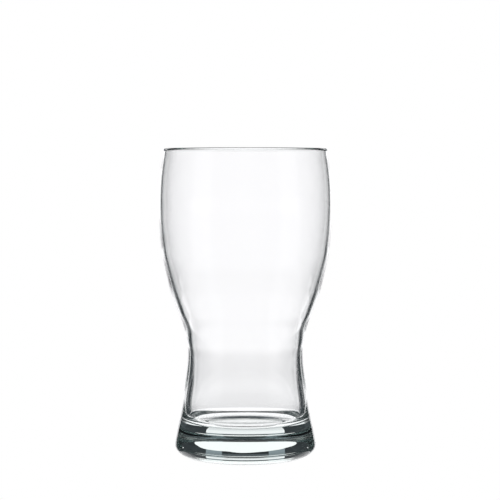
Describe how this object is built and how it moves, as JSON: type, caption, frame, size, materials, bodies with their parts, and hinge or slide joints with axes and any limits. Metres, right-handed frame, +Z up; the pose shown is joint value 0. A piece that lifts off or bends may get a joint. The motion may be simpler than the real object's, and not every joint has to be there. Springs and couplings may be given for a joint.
{
  "type": "pint glass",
  "caption": "Waisted beer glass in clear glass: wide round bowl, narrow waist, and a flared, thick solid foot with a shallow recess under it.",
  "frame": {"origin": "on the glass's axis, in the plane of the foot's bearing ring, so the glass stands on Z = 0", "axes": "+Z up along the axis, from the foot to the rim; the glass is a body of revolution, so +X and +Y are free"},
  "size_m": [0.0902, 0.0902, 0.1607],
  "materials": {
    "clear_glass": "clear fire-polished soda-lime glass with a faint green-grey tint"
  },
  "bodies": {
    "root": {"glass_body": "clear_glass"}
  },
  "joints": []
}
